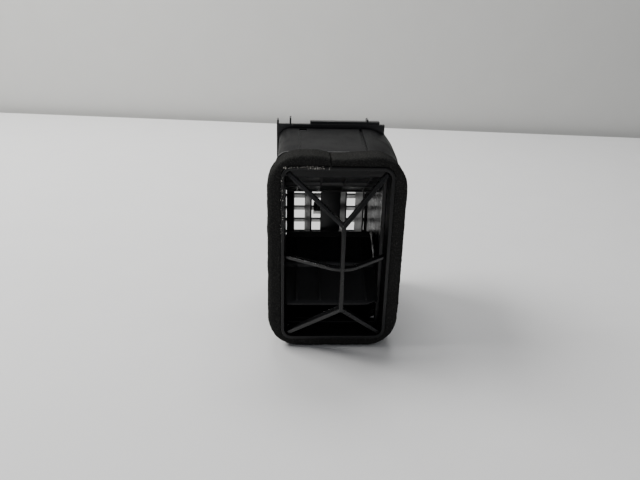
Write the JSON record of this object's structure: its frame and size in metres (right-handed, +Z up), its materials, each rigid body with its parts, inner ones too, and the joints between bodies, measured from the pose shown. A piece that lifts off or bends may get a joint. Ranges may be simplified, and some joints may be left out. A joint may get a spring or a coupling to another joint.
{
  "type": "dashboard air outlet",
  "caption": "Portrait dashboard air outlet with foam-sealed duct inlet, tent guard, level and upright vanes on a sliding knob, and shut-off blades on a thumbwheel.",
  "frame": {"origin": "centre of the inlet spigot's rim, where the duct pushes on", "axes": "+X to the right seen from the inlet, +Y along the air from the inlet to the bezel, +Z up"},
  "size_m": [0.0901, 0.1257, 0.1381],
  "materials": {
    "housing": "moulded black polypropylene, satin",
    "bezel": "fine-grained black",
    "vane": "satin black",
    "blade": "satin black",
    "bearing": "low-friction dark grey",
    "knob": "satin black",
    "gear": "natural acetal",
    "foam": "open-cell foam",
    "soft_touch": "soft-touch",
    "screw_steel": "zinc plated",
    "spring_steel": "phosphated"
  },
  "bodies": {
    "housing": {"inlet_collar": "housing", "inlet_guard": "housing", "foam_gasket": "foam", "main_housing": "housing", "side_cover": "housing", "gear_plate": "housing", "housing_screws": "screw_steel", "bezel": "bezel", "vane_rail_left": "bearing", "vane_rail_right": "bearing", "vane_rail_top": "bearing", "vane_rail_bottom": "bearing", "dash_clips": "spring_steel", "idler_clips": "spring_steel", "wheel_axle": "screw_steel"},
    "level_vane_01": {"level_vane_01": "vane"},
    "level_vane_02": {"level_vane_02": "vane"},
    "level_vane_03": {"level_vane_03": "vane"},
    "level_vane_04": {"level_vane_04": "vane"},
    "level_vane_05": {"level_vane_05": "vane"},
    "level_vane_06": {"level_vane_06": "vane"},
    "level_vane_07": {"level_vane_07": "vane"},
    "level_vane_08": {"level_vane_08": "vane"},
    "level_vane_09": {"level_vane_09": "vane"},
    "level_vane_10": {"level_vane_10": "vane"},
    "level_vane_11": {"level_vane_11": "vane"},
    "level_vane_link": {"level_vane_link": "vane"},
    "knob": {"knob_body": "knob", "knob_fork": "knob", "knob_grip": "soft_touch"},
    "upright_vane_1": {"upright_vane_1": "vane"},
    "upright_vane_2": {"upright_vane_2": "vane"},
    "upright_vane_3": {"upright_vane_3": "vane", "drive_paddle": "vane"},
    "upright_vane_4": {"upright_vane_4": "vane"},
    "upright_vane_5": {"upright_vane_5": "vane"},
    "upright_vane_link": {"upright_vane_link": "vane"},
    "thumbwheel": {"thumbwheel": "knob", "wheel_grip": "soft_touch"},
    "lower_damper": {"lower_damper_blade": "blade", "lower_blade_seal": "soft_touch", "lower_blade_gear": "gear"},
    "upper_damper": {"upper_damper_blade": "blade", "upper_blade_seal": "soft_touch", "upper_blade_gear": "gear"},
    "lower_idler": {"lower_idler_gear": "gear"},
    "upper_idler": {"upper_idler_gear": "gear"},
    "link_rod": {"damper_link_rod": "gear"}
  },
  "joints": [
    {"name": "level_vane_06_tilt", "type": "hinge", "parent": "housing", "child": "level_vane_06", "pos_m": [0, 0.095, 0.0007], "axis": [1, 0, 0], "range_deg": [-3, 58]},
    {"name": "level_vane_01_tilt", "type": "hinge", "parent": "housing", "child": "level_vane_01", "pos_m": [0, 0.095, -0.0483], "axis": [1, 0, 0], "range_deg": [-3, 58]},
    {"name": "level_vane_02_tilt", "type": "hinge", "parent": "housing", "child": "level_vane_02", "pos_m": [0, 0.095, -0.0385], "axis": [1, 0, 0], "range_deg": [-3, 58]},
    {"name": "level_vane_03_tilt", "type": "hinge", "parent": "housing", "child": "level_vane_03", "pos_m": [0, 0.095, -0.0287], "axis": [1, 0, 0], "range_deg": [-3, 58]},
    {"name": "level_vane_04_tilt", "type": "hinge", "parent": "housing", "child": "level_vane_04", "pos_m": [0, 0.095, -0.0189], "axis": [1, 0, 0], "range_deg": [-3, 58]},
    {"name": "level_vane_05_tilt", "type": "hinge", "parent": "housing", "child": "level_vane_05", "pos_m": [0, 0.095, -0.0091], "axis": [1, 0, 0], "range_deg": [-3, 58]},
    {"name": "level_vane_07_tilt", "type": "hinge", "parent": "housing", "child": "level_vane_07", "pos_m": [0, 0.095, 0.0105], "axis": [1, 0, 0], "range_deg": [-3, 58]},
    {"name": "level_vane_08_tilt", "type": "hinge", "parent": "housing", "child": "level_vane_08", "pos_m": [0, 0.095, 0.0203], "axis": [1, 0, 0], "range_deg": [-3, 58]},
    {"name": "level_vane_09_tilt", "type": "hinge", "parent": "housing", "child": "level_vane_09", "pos_m": [0, 0.095, 0.0301], "axis": [1, 0, 0], "range_deg": [-3, 58]},
    {"name": "level_vane_10_tilt", "type": "hinge", "parent": "housing", "child": "level_vane_10", "pos_m": [0, 0.095, 0.0399], "axis": [1, 0, 0], "range_deg": [-3, 58]},
    {"name": "level_vane_11_tilt", "type": "hinge", "parent": "housing", "child": "level_vane_11", "pos_m": [0, 0.095, 0.0497], "axis": [1, 0, 0], "range_deg": [-3, 58]},
    {"name": "level_link_pivot", "type": "hinge", "parent": "level_vane_06", "child": "level_vane_link", "pos_m": [0, 0.09032, 0.00319], "axis": [1, 0, 0], "range_deg": [-58, 3]},
    {"name": "knob_slide", "type": "slide", "parent": "level_vane_06", "child": "knob", "axis": [1, 0, 0], "range_m": [-0.0033, 0.0073]},
    {"name": "upright_vane_1_turn", "type": "hinge", "parent": "housing", "child": "upright_vane_1", "pos_m": [-0.0274, 0.075, 0], "axis": [0, 0, 1], "range_deg": [-44, 20]},
    {"name": "upright_vane_2_turn", "type": "hinge", "parent": "housing", "child": "upright_vane_2", "pos_m": [-0.0148, 0.075, 0], "axis": [0, 0, 1], "range_deg": [-44, 20]},
    {"name": "upright_vane_3_turn", "type": "hinge", "parent": "housing", "child": "upright_vane_3", "pos_m": [-0.0022, 0.075, 0], "axis": [0, 0, 1], "range_deg": [-44, 20]},
    {"name": "upright_vane_4_turn", "type": "hinge", "parent": "housing", "child": "upright_vane_4", "pos_m": [0.0104, 0.075, 0], "axis": [0, 0, 1], "range_deg": [-44, 20]},
    {"name": "upright_vane_5_turn", "type": "hinge", "parent": "housing", "child": "upright_vane_5", "pos_m": [0.023, 0.075, 0], "axis": [0, 0, 1], "range_deg": [-44, 20]},
    {"name": "upright_link_pivot", "type": "hinge", "parent": "upright_vane_3", "child": "upright_vane_link", "pos_m": [-0.00112, 0.06991, -0.014], "axis": [0, 0, 1], "range_deg": [-20, 44]},
    {"name": "wheel_turn", "type": "hinge", "parent": "housing", "child": "thumbwheel", "pos_m": [0.04, 0.0835, 0.004], "axis": [1, 0, 0], "range_deg": [-27, 63]},
    {"name": "lower_damper_turn", "type": "hinge", "parent": "housing", "child": "lower_damper", "pos_m": [0, 0.036, -0.0205], "axis": [1, 0, 0], "range_deg": [-27, 63]},
    {"name": "upper_damper_turn", "type": "hinge", "parent": "housing", "child": "upper_damper", "pos_m": [0, 0.036, 0.0385], "axis": [1, 0, 0], "range_deg": [-63, 27]},
    {"name": "lower_idler_spin", "type": "hinge", "parent": "housing", "child": "lower_idler", "pos_m": [0.0337, 0.036, 0], "axis": [1, 0, 0], "range_deg": [-81, 35]},
    {"name": "upper_idler_spin", "type": "hinge", "parent": "housing", "child": "upper_idler", "pos_m": [0.0337, 0.036, 0.018], "axis": [1, 0, 0], "range_deg": [-35, 81]},
    {"name": "link_rod_pivot", "type": "hinge", "parent": "thumbwheel", "child": "link_rod", "pos_m": [0.0365, 0.0822, 0.01291], "axis": [1, 0, 0], "range_deg": [-63, 27]}
  ],
  "couplings": [
    {"joint": "level_vane_01_tilt", "follows": "level_vane_06_tilt", "ratio": 1},
    {"joint": "level_vane_02_tilt", "follows": "level_vane_06_tilt", "ratio": 1},
    {"joint": "level_vane_03_tilt", "follows": "level_vane_06_tilt", "ratio": 1},
    {"joint": "level_vane_04_tilt", "follows": "level_vane_06_tilt", "ratio": 1},
    {"joint": "level_vane_05_tilt", "follows": "level_vane_06_tilt", "ratio": 1},
    {"joint": "level_vane_07_tilt", "follows": "level_vane_06_tilt", "ratio": 1},
    {"joint": "level_vane_08_tilt", "follows": "level_vane_06_tilt", "ratio": 1},
    {"joint": "level_vane_09_tilt", "follows": "level_vane_06_tilt", "ratio": 1},
    {"joint": "level_vane_10_tilt", "follows": "level_vane_06_tilt", "ratio": 1},
    {"joint": "level_vane_11_tilt", "follows": "level_vane_06_tilt", "ratio": 1},
    {"joint": "level_link_pivot", "follows": "level_vane_06_tilt", "ratio": -1},
    {"joint": "upright_vane_1_turn", "follows": "knob_slide", "rad_per_m": -104.17},
    {"joint": "upright_vane_2_turn", "follows": "knob_slide", "rad_per_m": -104.17},
    {"joint": "upright_vane_3_turn", "follows": "knob_slide", "rad_per_m": -104.17},
    {"joint": "upright_vane_4_turn", "follows": "knob_slide", "rad_per_m": -104.17},
    {"joint": "upright_vane_5_turn", "follows": "knob_slide", "rad_per_m": -104.17},
    {"joint": "upright_link_pivot", "follows": "knob_slide", "rad_per_m": 104.17},
    {"joint": "lower_damper_turn", "follows": "wheel_turn", "ratio": 1},
    {"joint": "upper_damper_turn", "follows": "wheel_turn", "ratio": -1},
    {"joint": "lower_idler_spin", "follows": "wheel_turn", "ratio": -1.2778},
    {"joint": "upper_idler_spin", "follows": "wheel_turn", "ratio": 1.2778},
    {"joint": "link_rod_pivot", "follows": "wheel_turn", "ratio": -1}
  ]
}
